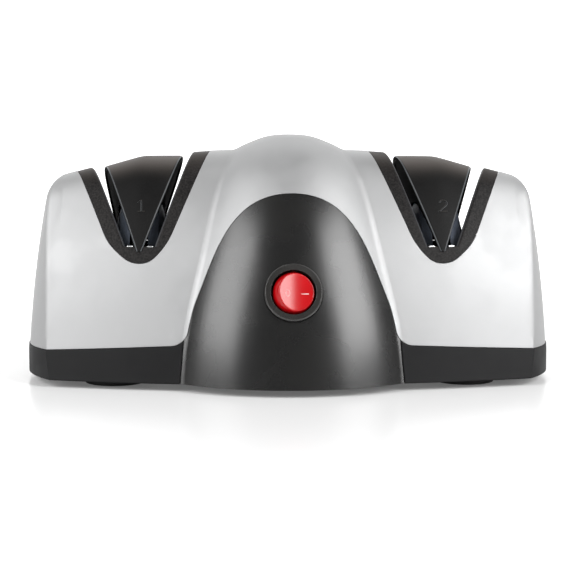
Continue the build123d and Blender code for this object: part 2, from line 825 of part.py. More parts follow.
with BuildPart() as brush_holders:
    for side in (1, -1):
        with BuildSketch(Plane(origin=(brush_x, side * holder_start, axis_z), x_dir=(1, 0, 0),
                               z_dir=(0, side, 0))):
            Rectangle(*holder_size)
            Rectangle(brush_width + 0.2, 3.2, mode=Mode.SUBTRACT)
        extrude(amount=holder_end - holder_start)
        with BuildSketch(Plane(origin=(brush_x, side * (holder_end - 1), axis_z),
                               x_dir=(1, 0, 0), z_dir=(0, side, 0))):
            Rectangle(*holder_size)
        extrude(amount=1)
finish(brush_holders.part, "brush_holders")

with BuildPart() as brush_springs:
    for side in (1, -1):
        start = brush_face + 9.1
        add(coil_spring(Plane(origin=(brush_x, side * start, axis_z), z_dir=(0, side, 0)),
                        1.1, 0.25, holder_end - 1.1 - start, 4))
finish(brush_springs.part, "brush_springs")

with BuildPart() as cooling_fan:
    add(tube(fan_x - fan_width / 2, fan_x + fan_width / 2, shaft_radius, shaft_radius + 3))
    with BuildSketch(axle_plane.offset(fan_x - fan_width / 2)):
        with PolarLocations((shaft_radius + 2 + fan_radius) / 2, fan_blades):
            Rectangle(fan_radius - shaft_radius - 2, 1.2, rotation=0)
    extrude(amount=fan_width)
    add(tube(fan_x - fan_width / 2, fan_x - fan_width / 2 + 1.2, shaft_radius + 2, fan_radius))
finish(cooling_fan.part, "cooling_fan")

# ---------------------------------------------------------------- grinding wheels
flat_half = wheel_rim_half + wheel_cone * (wheel_radius - wheel_flat_radius)
sleeve_half = flat_half + 0.1


def grinding_wheel(middle, side):
    """One dished wheel of a pair, facing outwards on the given side."""
    return turned([(middle + side * flat_half, hub_radius + 0.05),
                   (middle + side * flat_half, wheel_flat_radius),
                   (middle + side * wheel_rim_half, wheel_radius),
                   (middle + side * (wheel_rim_half - wheel_plate), wheel_radius),
                   (middle + side * (flat_half - wheel_plate), wheel_flat_radius),
                   (middle + side * (flat_half - wheel_plate), hub_radius + 0.05)])


for name, middle in (("fine_wheels", wheel_x), ("coarse_wheels", -wheel_x)):
    with BuildPart() as wheels:
        add(grinding_wheel(middle, 1))
        add(grinding_wheel(middle, -1))
    finish(wheels.part, name)

with BuildPart() as wheel_springs:
    spring_half = flat_half - wheel_plate - 0.1
    for middle in (wheel_x, -wheel_x):
        add(coil_spring(axle_plane.offset(middle - spring_half), hub_radius + 1.6, 0.8,
                        2 * spring_half, 5))
finish(wheel_springs.part, "wheel_springs")

with BuildPart() as wheel_sleeves:
    for middle in (wheel_x, -wheel_x):
        add(tube(middle - sleeve_half, middle + sleeve_half, shaft_radius, hub_radius))
finish(wheel_sleeves.part, "wheel_sleeves")

with BuildPart() as shaft_collars:
    for side in (1, -1):
        start = side * (wheel_x - sleeve_half)
        add(tube(start - side * 2.4, start, shaft_radius, collar_radius + 1))
finish(shaft_collars.part, "shaft_collars")

washer_thickness = 1.2
with BuildPart() as wheel_washers:
    for side in (1, -1):
        start = side * (wheel_x + sleeve_half)
        add(tube(start, start + side * washer_thickness, shaft_radius, collar_radius + 1))
finish(wheel_washers.part, "wheel_washers")

with BuildPart() as wheel_nuts:
    for side in (1, -1):
        start = side * (wheel_x + sleeve_half + washer_thickness)
        with BuildSketch(axle_plane.offset(start)):
            RegularPolygon(nut_across_flats / 2, 6, major_radius=False)
            Circle(shaft_radius, mode=Mode.SUBTRACT)
        extrude(amount=side * nut_thickness)
finish(wheel_nuts.part, "wheel_nuts")

# ---------------------------------------------------------------- motor mounting
ring_outer = can_radius + ring_thickness
strap_outer = ring_outer + fit + strap_thickness
ear_half = 35.5
ear_thickness = 3.0

with BuildPart() as damping_rings:
    for x in (cradle_x, -cradle_x):
        add(tube(x - ring_width / 2, x + ring_width / 2, can_radius, ring_outer))
finish(damping_rings.part, "damping_rings")

with BuildPart() as motor_cradle:
    for x in (cradle_x, -cradle_x):
        with BuildSketch(Plane.YZ.offset(x - cradle_width / 2)):
            with Locations((0, (tray_floor_top + axis_z) / 2)):
                Rectangle(2 * ear_half, axis_z - tray_floor_top)
            with Locations((0, axis_z)):
                Circle(ring_outer + fit, mode=Mode.SUBTRACT)
            with Locations((0, tray_floor_top)):
                Rectangle(38, 12, mode=Mode.SUBTRACT)
        extrude(amount=cradle_width)
    with BuildSketch(Plane.XY.offset(tray_floor_top)):
        with GridLocations(0, 2 * ear_half - 8, 1, 2):
            Rectangle(2 * cradle_x, 8)
    extrude(amount=2.5)
    with BuildSketch(Plane.XY.offset(axis_z - 14)):
        with GridLocations(2 * cradle_x, 2 * clamp_screw_y, 2, 2):
            Circle(screw_radius + 0.05)
    extrude(amount=20, mode=Mode.SUBTRACT)
finish(motor_cradle.part, "motor_cradle")

with BuildPart() as motor_straps:
    for x in (cradle_x, -cradle_x):
        with BuildSketch(Plane.YZ.offset(x - ring_width / 2)):
            with Locations((0, axis_z)):
                Circle(strap_outer)
                Circle(ring_outer + fit, mode=Mode.SUBTRACT)
            with Locations((0, axis_z + fit + ear_thickness / 2)):
                with GridLocations(strap_outer + ear_half - strap_thickness, 0, 2, 1):
                    Rectangle(ear_half - ring_outer - fit, ear_thickness)
            with Locations((0, axis_z + fit - strap_outer)):
                Rectangle(4 * strap_outer, 2 * strap_outer, mode=Mode.SUBTRACT)
        extrude(amount=ring_width)
    with BuildSketch(Plane.XY.offset(axis_z)):
        with GridLocations(2 * cradle_x, 2 * clamp_screw_y, 2, 2):
            Circle(screw_radius + 0.05)
    extrude(amount=6, mode=Mode.SUBTRACT)
finish(motor_straps.part, "motor_straps")

strap_screw_seat = axis_z + fit + ear_thickness
with BuildPart() as strap_screws:
    with BuildSketch(Plane.XY.offset(strap_screw_seat)):
        with GridLocations(2 * cradle_x, 2 * clamp_screw_y, 2, 2):
            Circle(screw_head_radius - 0.4)
    extrude(amount=2)
    with BuildSketch(Plane.XY.offset(strap_screw_seat + 2)):
        with GridLocations(2 * cradle_x, 2 * clamp_screw_y, 2, 2):
            Circle(screw_radius)
    extrude(amount=-15)
finish(strap_screws.part, "strap_screws")

# ---------------------------------------------------------------- electrics
with BuildPart() as rectifier_board:
    with BuildSketch(Plane.XY.offset(board_z)):
        with Locations((0, board_y)):
            Rectangle(board_size[0], board_size[1])
    extrude(amount=board_size[2])
finish(rectifier_board.part, "rectifier_board")

board_top = board_z + board_size[2]
with BuildPart() as board_components:
    with BuildSketch(Plane.XY.offset(board_top)):
        with Locations((-8, board_y)):
            Rectangle(13, 8)
        with Locations((5, board_y + 3)):
            Circle(4.2)
        with Locations((12, board_y - 3)):
            Rectangle(5, 7)
    extrude(amount=9)
finish(board_components.part, "board_components")

gland_inner = cord_clamp_y + clamp_post_radius
with BuildPart() as cord_gland:
    with BuildSketch(Plane.XZ.offset(-gland_seat)):
        with Locations((0, gland_z)):
            Circle(gland_flange)
    extrude(amount=-gland_lip)
    chamfer(cord_gland.faces().sort_by(Axis.Y)[-1].edges(), 1.0)
    with BuildSketch(Plane.XZ.offset(-gland_inner)):
        with Locations((0, gland_z)):
            Circle(gland_neck)
    extrude(amount=gland_inner - gland_seat)
    with BuildSketch(Plane.XZ.offset(-gland_inner)):
        with Locations((0, gland_z)):
            Circle(gland_bore)
    extrude(amount=gland_inner - gland_seat - gland_lip, mode=Mode.SUBTRACT)
finish(cord_gland.part, "cord_gland")

with BuildPart() as cord_clamp:
    with BuildSketch(Plane.XY.offset(clamp_post_top)):
        with Locations((0, cord_clamp_y)):
            SlotOverall(2 * (clamp_post_x + clamp_post_radius), 2 * clamp_post_radius)
        with Locations(*clamp_spots):
            Circle(clamp_screw_radius + 0.05, mode=Mode.SUBTRACT)
    extrude(amount=clamp_thickness)
finish(cord_clamp.part, "cord_clamp")

with BuildPart() as clamp_screws:
    with BuildSketch(Plane.XY.offset(clamp_post_top + clamp_thickness)):
        with Locations(*clamp_spots):
            Circle(2 * clamp_screw_radius)
    extrude(amount=1.4)
    with BuildSketch(Plane.XY.offset(clamp_post_top + clamp_thickness)):
        with Locations(*clamp_spots):
            Circle(clamp_screw_radius)
    extrude(amount=-(clamp_screw_length + clamp_thickness - 0.5))
finish(clamp_screws.part, "clamp_screws")

# ---------------------------------------------------------------- switch
pivot_plane = switch_plane.offset(-rocker_pivot_depth)
rocker_section = Plane(origin=pivot_plane.origin, x_dir=switch_plane.x_dir,
                       z_dir=-switch_plane.y_dir)
rocker_axis = Axis(pivot_plane.origin, switch_plane.y_dir)
pin_reach = switch_opening_radius + 0.4
body_floor = switch_depth - 1.5

with BuildPart() as switch_body:
    with BuildSketch(switch_plane.offset(-bezel_seat)):
        Circle(bezel_radius)
    extrude(amount=bezel_seat + bezel_height)
    chamfer(switch_body.faces().sort_by(Axis.Y)[0].edges(), 0.5)
    with BuildSketch(switch_plane.offset(-bezel_seat)):
        Circle(switch_body_radius)
    extrude(amount=bezel_seat - switch_depth)
    with BuildSketch(switch_plane.offset(-body_floor)):
        Circle(switch_opening_radius)
    extrude(amount=body_floor + 2 * bezel_height, mode=Mode.SUBTRACT)
    with BuildSketch(rocker_section):
        Circle(pin_radius + pin_clearance)
    extrude(amount=pin_reach + 0.2, both=True, mode=Mode.SUBTRACT)
    with BuildSketch(switch_plane.offset(-switch_depth)):
        with Locations((0, 0), (terminal_x, 0)):
            Rectangle(terminal_size[0] + 0.1, terminal_size[1] + 0.1)
    extrude(amount=switch_depth - body_floor, mode=Mode.SUBTRACT)
finish(switch_body.part, "switch_body")

with BuildPart() as level_rocker:
    with BuildSketch(rocker_section):
        with BuildLine():
            rim_x = sqrt(rocker_radius ** 2 - rocker_rise ** 2)
            skirt_x = sqrt(rocker_radius ** 2 - rocker_skirt ** 2)
            ThreePointArc((-rim_x, rocker_rise), (0, rocker_rise - rocker_dish),
                          (rim_x, rocker_rise))
            ThreePointArc((rim_x, rocker_rise), (rocker_radius, 0), (skirt_x, -rocker_skirt))
            Line((skirt_x, -rocker_skirt), (-skirt_x, -rocker_skirt))
            ThreePointArc((-skirt_x, -rocker_skirt), (-rocker_radius, 0), (-rim_x, rocker_rise))
        make_face()
    extrude(amount=rocker_radius, both=True)
    with Locations(pivot_plane):
        Sphere(rocker_radius, mode=Mode.INTERSECT)
    fillet(level_rocker.faces().sort_by(Axis.Y)[0].edges(), rocker_edge_radius)
    with BuildSketch(rocker_section):
        Circle(pin_radius)
    extrude(amount=pin_reach, both=True)
    with BuildSketch(pivot_plane.offset(-rocker_skirt)):
        Circle(plunger_radius + fit)
    extrude(amount=rocker_skirt + 1, mode=Mode.SUBTRACT)

with BuildPart() as level_plunger:
    with BuildSketch(pivot_plane.offset(plunger_top)):
        Circle(plunger_radius)
    extrude(amount=-5)
    with BuildSketch(pivot_plane.offset(-plunger_length + plunger_tip_radius)):
        Circle(plunger_tip_radius)
    extrude(amount=plunger_length - plunger_tip_radius + plunger_top - 4)
    with Locations(pivot_plane.offset(-plunger_length + plunger_tip_radius)):
        Sphere(plunger_tip_radius)

level_spring = coil_spring(pivot_plane.offset(plunger_top + 0.05), plunger_radius - 0.4, 0.2,
                           0.9 - plunger_top, 3)
finish(level_rocker.part.rotate(rocker_axis, rocker_tilt), "rocker")
finish(level_plunger.part.rotate(rocker_axis, rocker_tilt), "rocker_plunger")
finish(level_spring.rotate(rocker_axis, rocker_tilt), "rocker_spring")

bridge_plane = Plane(origin=(switch_plane.offset(-bridge_depth)).origin,
                     x_dir=switch_plane.x_dir, z_dir=-switch_plane.y_dir)
bridge_axis = Axis(bridge_plane.origin, switch_plane.y_dir)
arm_rise = bridge_half_length * tan(radians(bridge_tilt))
with BuildPart() as level_bridge:
    with BuildSketch(bridge_plane):
        with BuildLine():
            Polyline((0, -bridge_thickness / 2),
                     (bridge_half_length, arm_rise - bridge_thickness / 2),
                     (bridge_half_length, arm_rise + bridge_thickness / 2),
                     (0, bridge_thickness / 2),
                     (-bridge_half_length, arm_rise + bridge_thickness / 2),
                     (-bridge_half_length, arm_rise - bridge_thickness / 2), close=True)
        make_face()
    extrude(amount=bridge_half_width, both=True)
finish(level_bridge.part.rotate(bridge_axis, -bridge_tilt), "contact_bridge")

post_gap = 0.15
with BuildPart() as switch_terminals:
    with BuildSketch(switch_plane.offset(-switch_depth - terminal_length)):
        with Locations((0, 0), (terminal_x, 0)):
            Rectangle(*terminal_size)
    extrude(amount=terminal_length + switch_depth - body_floor)
    with BuildSketch(switch_plane.offset(-body_floor)):
        Rectangle(*terminal_size)
    extrude(amount=body_floor - bridge_depth - bridge_thickness / 2 - post_gap)
    with BuildSketch(switch_plane.offset(-body_floor)):
        with Locations((terminal_x, 0)):
            Rectangle(*terminal_size)
    extrude(amount=body_floor - bridge_depth - bridge_thickness / 2 - 2 * post_gap)
finish(switch_terminals.part, "switch_terminals")
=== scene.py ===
"""Looks of the electric knife sharpener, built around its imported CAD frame.

Units are metres, except where a comment says mm. +Z is up, +X runs along the two heads
and the switch looks towards -Y.
"""

import json
import math

import bpy
from mathutils import Matrix, Vector


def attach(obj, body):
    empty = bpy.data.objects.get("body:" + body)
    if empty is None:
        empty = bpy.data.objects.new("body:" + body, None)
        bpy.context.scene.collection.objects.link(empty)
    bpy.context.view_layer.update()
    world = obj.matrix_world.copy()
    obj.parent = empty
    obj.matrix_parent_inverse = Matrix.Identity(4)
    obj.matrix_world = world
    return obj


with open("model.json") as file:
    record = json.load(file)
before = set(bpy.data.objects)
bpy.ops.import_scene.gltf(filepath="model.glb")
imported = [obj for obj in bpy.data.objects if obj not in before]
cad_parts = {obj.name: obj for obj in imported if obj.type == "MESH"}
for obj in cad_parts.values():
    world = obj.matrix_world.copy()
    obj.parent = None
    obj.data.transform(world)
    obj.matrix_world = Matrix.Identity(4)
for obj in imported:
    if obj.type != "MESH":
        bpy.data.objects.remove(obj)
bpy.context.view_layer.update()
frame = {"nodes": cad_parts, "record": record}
nodes = frame["nodes"]
MM = 0.001
MIDDLE = Vector((0, 0, 50 * MM))         # what the camera and the lamps point at

# ---------------------------------------------------------------- photograph's view
PHOTO_SIZE = 575                         # pixels, both ways
FOCAL_PIXELS = 1571.98
MAIN_POINT = (288.61, 256.11)            # pixel that the camera's axis meets
CAMERA_AZIMUTH = -2.01                   # degrees, from straight in front towards -X
CAMERA_ELEVATION = 4.72
CAMERA_ROLL = 0.11
CAMERA_DISTANCE = 668.86 * MM
CAMERA_CLIP = 10 * MM
SENSOR = 36.0                            # mm

# ---------------------------------------------------------------- light
AMBIENT = 0.19                           # light from all around
BACKDROP_GLOW = 1.0                      # white of all that is seen far from the object
FLOOR_GLOW = 0.12                        # added to the floor near it, which keeps its shadow
SEEN_NEAR = 0.10                         # the floor's glow grows from here to SEEN_FAR
SEEN_FAR = 0.45
MIRRORED_NEAR = 0.10                     # and in mirror rays from this y to MIRRORED_FAR
MIRRORED_FAR = 0.60

# ---------------------------------------------------------------- studio
FLOOR_REACH = 3.0                        # to each side, forwards and up the backdrop
BACKDROP_DEPTH = 1.4                     # from the object's middle to the backdrop
SWEEP_RADIUS = 0.35                      # of the bend from floor to backdrop
SWEEP_STEPS = 12
FLOOR_COLOUR = (0.80, 0.80, 0.80, 1)
FLOOR_ROUGHNESS = 0.25
FLOOR_SPECULAR = 0.3

# ---------------------------------------------------------------- surfaces
NOISE_LOW = 0.25                         # a noise factor stays about between these two
NOISE_HIGH = 0.75
CLOUD_SCALE = 60.0                       # slow variation of colour and gloss
CLOUD_DETAIL = 3.0
GRAIN_DETAIL = 1.0
# Where painted light and shade go: lighter tops, painted highlights on rounded edges and painted
# shade on the flanks inside the slots.
FACES_UP = (0.55, 0.98)                  # the normal's z, from none to all of the effect
FACES_ROUNDED = (0.35, 0.50)             # the normal's x on rounded side edges
FACES_ASIDE = (0.82, 0.90)               # and on the hollowed flanks inside the slots
RUBBED_ROUGHNESS = 0.28                  # of edges that blades and hands polish
RECESS_ROUGHNESS = 0.95                  # of faces that look sideways into the slots
EDGE_SAMPLES = 6
END_SAMPLES = 12
END_X = (92 * MM, 95 * MM)               # the casing's edges get rounder over this x
END_Z = (16 * MM, 22 * MM)               # and over this height
END_RADIUS = 4.5 * MM

# ---------------------------------------------------------------- marks, in mm
LEFT_DIGIT = (141, 206)                  # pixels of the photograph at the marks' middles
RIGHT_DIGIT = (443, 206)
OFF_MARK = (288, 293)
ON_MARK = (305, 294)
DIGIT_WIDTH = 0.75                       # of the stage numbers' strokes
DIGIT_LIFT = 0.16                        # of their tops over the surface
DIGIT_HALF = 2.3                         # half of their height
BOWL = (1.6, 1.25)                       # half width and half height of the bowl of the 2
ROCKER_STROKE = 0.42
ROCKER_LIFT = 0.06
RING = (0.8, 1.2)                        # half width and half height of the off mark
DASH_HALF = 1.5                          # half of the on mark's length
POINT_STEP = 0.25                        # between points along a straight stroke


def direction(azimuth, elevation):
    """Unit vector from the object, by degrees from straight in front and upwards."""
    turn = math.radians(azimuth)
    rise = math.radians(elevation)
    return Vector((math.sin(turn) * math.cos(rise), -math.cos(turn) * math.cos(rise),
                   math.sin(rise)))


def camera_frame():
    """The camera's place and its turn, for the photograph's viewing angle."""
    towards = direction(CAMERA_AZIMUTH, CAMERA_ELEVATION)
    turn = (-towards).to_track_quat("-Z", "Y").to_matrix().to_4x4()
    roll = Matrix.Rotation(math.radians(CAMERA_ROLL), 4, "Z")
    return Matrix.Translation(MIDDLE + towards * CAMERA_DISTANCE) @ turn @ roll


def add_object(name, data):
    """New object in the scene."""
    item = bpy.data.objects.new(name, data)
    bpy.context.scene.collection.objects.link(item)
    return item


def make_camera():
    """Camera at the photograph's viewing angle."""
    data = bpy.data.cameras.new("camera")
    data.sensor_fit = "HORIZONTAL"
    data.sensor_width = SENSOR
    data.lens = FOCAL_PIXELS / PHOTO_SIZE * SENSOR
    data.shift_x = (PHOTO_SIZE / 2 - MAIN_POINT[0]) / PHOTO_SIZE
    data.shift_y = (MAIN_POINT[1] - PHOTO_SIZE / 2) / PHOTO_SIZE
    data.clip_start = CAMERA_CLIP
    camera = add_object("camera", data)
    camera.matrix_world = camera_frame()
    bpy.context.scene.camera = camera


# ---------------------------------------------------------------- shader nodes
MIX_FACTOR = 0                           # sockets of a Mix node, which share their names
NUMBER_A, NUMBER_B, NUMBER_OUT = 2, 3, 0
COLOUR_A, COLOUR_B, COLOUR_OUT = 6, 7, 2


def feed(tree, node, values=None, links=None):
    """Sets some of a node's sockets and links others."""
    for socket, value in (values or {}).items():
        node.inputs[socket].default_value = value
    for socket, source in (links or {}).items():
        tree.links.new(source, node.inputs[socket])


def new_material(name):
    """Empty node material with its shader and output."""
    material = bpy.data.materials.new(name)
    material.use_nodes = True
    tree = material.node_tree
    tree.nodes.clear()
    shader = tree.nodes.new("ShaderNodeBsdfPrincipled")
    output = tree.nodes.new("ShaderNodeOutputMaterial")
    tree.links.new(shader.outputs["BSDF"], output.inputs["Surface"])
    return material, tree, shader


def coordinates(tree, kind):
    """The object's own coordinates or its normal, as a vector and as its three parts."""
    place = tree.nodes.new("ShaderNodeTexCoord").outputs[kind]
    split = tree.nodes.new("ShaderNodeSeparateXYZ")
    tree.links.new(place, split.inputs[0])
    return place, split.outputs


def add_noise(tree, scale, detail):
    """Noise texture over the object's own coordinates; returns its factor output."""
    place = tree.nodes.new("ShaderNodeTexCoord").outputs["Object"]
    noise = tree.nodes.new("ShaderNodeTexNoise")
    feed(tree, noise, {"Scale": scale, "Detail": detail}, {"Vector": place})
    return noise.outputs["Fac"]


def ramp(tree, value, near, far, low, high):
    """Maps near..far to low..high, with soft ends."""
    mapper = tree.nodes.new("ShaderNodeMapRange")
    mapper.interpolation_type = "SMOOTHSTEP"
    feed(tree, mapper, {"From Min": near, "From Max": far, "To Min": low, "To Max": high},
         {"Value": value})
    return mapper.outputs["Result"]


def spread(tree, noise, low, high):
    """Maps a noise factor to low..high."""
    return ramp(tree, noise, NOISE_LOW, NOISE_HIGH, low, high)


def combine(tree, operation, first, second):
    """Joins two values by one operation."""
    node = tree.nodes.new("ShaderNodeMath")
    node.operation = operation
    feed(tree, node, links={0: first, 1: second})
    return node.outputs[0]


def absolute(tree, value):
    """A value without its sign."""
    node = tree.nodes.new("ShaderNodeMath")
    node.operation = "ABSOLUTE"
    feed(tree, node, links={0: value})
    return node.outputs[0]


def tint(tree, factor, dark, light):
    """Mixes two set colours by a factor."""
    mix = tree.nodes.new("ShaderNodeMix")
    mix.data_type = "RGBA"
    feed(tree, mix, {COLOUR_A: (*dark, 1), COLOUR_B: (*light, 1)}, {MIX_FACTOR: factor})
    return mix.outputs[COLOUR_OUT]


def blend_to(tree, factor, colour, goal):
    """Blends a colour towards a set one by a factor."""
    mix = tree.nodes.new("ShaderNodeMix")
    mix.data_type = "RGBA"
    feed(tree, mix, {COLOUR_B: (*goal, 1)}, {COLOUR_A: colour, MIX_FACTOR: factor})
    return mix.outputs[COLOUR_OUT]


def steer(tree, factor, number, goal):
    """Blends a number towards a set one by a factor."""
    mix = tree.nodes.new("ShaderNodeMix")
    feed(tree, mix, {NUMBER_B: goal}, {NUMBER_A: number, MIX_FACTOR: factor})
    return mix.outputs[NUMBER_OUT]


# ---------------------------------------------------------------- plastics
def facing_masks(tree):
    """Factors for painted light and shade: a lighter top on faces that look up, a painted
    highlight on rounded side edges, and painted shade on faces that look sideways.
    """
    _, normal = coordinates(tree, "Normal")
    # Faces that look up get a lighter colour, which is painted light from above.
    up = ramp(tree, normal["Z"], *FACES_UP, 0.0, 1.0)
    aside = absolute(tree, normal["X"])
    # Rounded side edges get a lighter colour: a painted highlight.
    rounded = ramp(tree, aside, *FACES_ROUNDED, 0.0, 1.0)
    # Faces that look sideways into the slots get a near-black colour: painted shade.
    flank_shade = ramp(tree, aside, *FACES_ASIDE, 0.0, 1.0)
    return up, rounded, flank_shade


def end_radius(tree, edge_radius):
    """Radius of softened edges, larger on the upright corners of the casing's two ends."""
    _, place = coordinates(tree, "Object")
    outer = ramp(tree, absolute(tree, place["X"]), *END_X, 0.0, 1.0)
    upper = ramp(tree, place["Z"], *END_Z, 0.0, 1.0)
    both = combine(tree, "MULTIPLY", outer, upper)
    return ramp(tree, both, 0.0, 1.0, edge_radius, END_RADIUS)


def add_relief(tree, shader, height, distance, edge_radius, soft_ends):
    """Fine relief over softened edges."""
    bevel = tree.nodes.new("ShaderNodeBevel")
    bevel.samples = END_SAMPLES if soft_ends else EDGE_SAMPLES
    feed(tree, bevel, {"Radius": edge_radius})
    if soft_ends:
        feed(tree, bevel, links={"Radius": end_radius(tree, edge_radius)})
    bump = tree.nodes.new("ShaderNodeBump")
    feed(tree, bump, {"Distance": distance}, {"Height": height, "Normal": bevel.outputs["Normal"]})
    feed(tree, shader, links={"Normal": bump.outputs["Normal"]})


def plastic(name, dark, light, rough, grain=2600.0, depth=0.02, edge=0.25, metal=0.0,
            specular=0.5, speckle=0.0, painted_light=None, soft_ends=False):
    """Moulded plastic: slight colour and gloss variation and a fine spark-eroded grain.

    dark and light are the ends of its colour, rough those of its roughness. grain is the
    relief's scale and depth its height; edge is the radius of its edges; both are in mm.
    speckle is how much the grain shows in the colour. The painted-light argument gives three
    painted colours: a lighter top, as painted light, on faces that look up, a painted highlight
    on rounded side edges and a near-black painted shade on faces that look sideways into the
    slots. soft_ends rounds the edges at the casing's two ends more than the others.
    """
    material, tree, shader = new_material(name)
    cloud = spread(tree, add_noise(tree, CLOUD_SCALE, CLOUD_DETAIL), 0.0, 1.0)
    relief = add_noise(tree, grain, GRAIN_DETAIL)
    shade = cloud
    if speckle:
        fleck = tree.nodes.new("ShaderNodeMix")
        feed(tree, fleck, {MIX_FACTOR: speckle},
             {NUMBER_A: cloud, NUMBER_B: spread(tree, relief, 0.0, 1.0)})
        shade = fleck.outputs[NUMBER_OUT]
    colour = tint(tree, shade, dark, light)
    roughness = spread(tree, cloud, *rough)
    if painted_light:
        # Painted light and shade by facing: a lighter top, a painted highlight on rounded edges
        # and a near-black painted shade on the flanks.
        masks = facing_masks(tree)
        for mask, goal in zip(masks, painted_light):
            colour = blend_to(tree, mask, colour, goal)
        _, edge_highlight, flank_shade = masks
        # The rounded edges that carry the painted highlight also get a lower roughness.
        roughness = steer(tree, edge_highlight, roughness, RUBBED_ROUGHNESS)
        # The flanks that carry the painted shade also get a high roughness.
        roughness = steer(tree, flank_shade, roughness, RECESS_ROUGHNESS)
    feed(tree, shader, {"Metallic": metal, "Specular IOR Level": specular},
         {"Base Color": colour, "Roughness": roughness})
    add_relief(tree, shader, relief, depth * MM, edge * MM, soft_ends)
    return material


# ---------------------------------------------------------------- floor, lamps and world
def floor_profile():
    """The floor's side view, from in front of the object to the backdrop's top."""
    bend = BACKDROP_DEPTH - SWEEP_RADIUS
    points = [(-FLOOR_REACH, 0.0), (bend, 0.0)]
    for step in range(1, SWEEP_STEPS + 1):
        turn = math.radians(90 * step / SWEEP_STEPS)
        points.append((bend + SWEEP_RADIUS * math.sin(turn),
                       SWEEP_RADIUS - SWEEP_RADIUS * math.cos(turn)))
    return points + [(BACKDROP_DEPTH, FLOOR_REACH)]


def make_floor():
    """White floor that runs up into the backdrop, and keeps the object's shadow."""
    profile = floor_profile()
    points = [(side * FLOOR_REACH, y, z) for y, z in profile for side in (-1, 1)]
    faces = [(2 * i, 2 * i + 1, 2 * i + 3, 2 * i + 2) for i in range(len(profile) - 1)]
    mesh = bpy.data.meshes.new("studio_floor")
    mesh.from_pydata(points, [], faces)
    mesh.shade_smooth()
    floor = add_object("studio_floor", mesh)
    material, tree, shader = new_material("studio_white")
    place, parts = coordinates(tree, "Object")
    distance = tree.nodes.new("ShaderNodeVectorMath")
    distance.operation = "LENGTH"
    feed(tree, distance, links={0: place})
    path = tree.nodes.new("ShaderNodeLightPath").outputs
    mirror_ray = combine(tree, "MAXIMUM", path["Is Glossy Ray"], path["Is Transmission Ray"])
    seen = ramp(tree, distance.outputs["Value"], SEEN_NEAR, SEEN_FAR, FLOOR_GLOW, BACKDROP_GLOW)
    mirrored = ramp(tree, parts["Y"], MIRRORED_NEAR, MIRRORED_FAR, FLOOR_GLOW, BACKDROP_GLOW)
    glow = combine(tree, "ADD", combine(tree, "MULTIPLY", path["Is Camera Ray"], seen),
                   combine(tree, "MULTIPLY", mirror_ray, mirrored))
    feed(tree, shader, {"Base Color": FLOOR_COLOUR, "Roughness": FLOOR_ROUGHNESS,
                        "Specular IOR Level": FLOOR_SPECULAR, "Emission Color": (1, 1, 1, 1)},
         {"Emission Strength": glow})
    mesh.materials.append(material)


def add_lamp(name, azimuth, elevation, distance, width, height, power):
    """Soft rectangular lamp, placed by its direction from the object."""
    data = bpy.data.lights.new(name, "AREA")
    data.shape = "RECTANGLE"
    data.size = width
    data.size_y = height
    data.energy = power
    towards = direction(azimuth, elevation)
    lamp = add_object(name, data)
    lamp.location = MIDDLE + towards * distance
    lamp.rotation_euler = (-towards).to_track_quat("-Z", "Y").to_euler()


def make_world():
    """White surroundings: full white where they are seen, plain grey light otherwise."""
    world = bpy.data.worlds.new("studio")
    bpy.context.scene.world = world
    world.use_nodes = True
    tree = world.node_tree
    tree.nodes.clear()
    path = tree.nodes.new("ShaderNodeLightPath").outputs
    seen = combine(tree, "MAXIMUM", path["Is Camera Ray"], path["Is Transmission Ray"])
    background = tree.nodes.new("ShaderNodeBackground")
    feed(tree, background, {"Color": (1, 1, 1, 1)},
         {"Strength": ramp(tree, seen, 0.0, 1.0, AMBIENT, BACKDROP_GLOW)})
    output = tree.nodes.new("ShaderNodeOutputWorld")
    tree.links.new(background.outputs["Background"], output.inputs["Surface"])


make_camera()
make_world()
make_floor()
add_lamp("softbox_left", azimuth=-57, elevation=27, distance=1.1, width=0.60, height=0.75,
         power=10.8)
add_lamp("softbox_right", azimuth=54, elevation=27, distance=1.1, width=0.60, height=0.75,
         power=13.7)
add_lamp("softbox_back", azimuth=180, elevation=60, distance=1.2, width=0.9, height=0.4,
         power=1.0)

# ---------------------------------------------------------------- materials
silver = plastic("silver_paint", (0.415, 0.417, 0.420), (0.445, 0.447, 0.450), (0.58, 0.63),
                 grain=5200.0, depth=0.012, metal=0.85, soft_ends=True)
panel_black = plastic("panel_black", (0.006, 0.006, 0.006), (0.008, 0.0078, 0.0075),
                      (0.26, 0.28), grain=3600.0, depth=0.004, specular=0.6)
charcoal = plastic("base_charcoal", (0.0055, 0.0055, 0.0060), (0.0085, 0.0085, 0.0090),
                   (0.55, 0.62), specular=0.2, edge=0.8, soft_ends=True)
# guide_black and wedge_grey carry painted light and shade: lighter tops, painted highlights on
# rounded edges and near-black painted shade on the flanks in the slots.
guide_black = plastic("guide_black", (0.0008, 0.0007, 0.0007), (0.0210, 0.0190, 0.0185),
                      (0.50, 0.58), grain=1500.0, depth=0.05, specular=0.18, speckle=0.8,
                      painted_light=((0.030, 0.025, 0.022), (0.045, 0.046, 0.050),
                               (0.0015, 0.0014, 0.0014)))
wedge_grey = plastic("wedge_grey", (0.0026, 0.0026, 0.0026), (0.0060, 0.0058, 0.0058),
                     (0.48, 0.54), grain=1500.0, depth=0.02, specular=0.14, speckle=0.5,
                     painted_light=((0.075, 0.066, 0.060), (0.085, 0.090, 0.095),
                              (0.0012, 0.0010, 0.0008)))
rubber = plastic("rubber", (0.012, 0.012, 0.012), (0.02, 0.02, 0.02), (0.6, 0.75))
bezel_grey = plastic("bezel_grey", (0.014, 0.013, 0.012), (0.019, 0.018, 0.017),
                     (0.24, 0.30), specular=0.8)
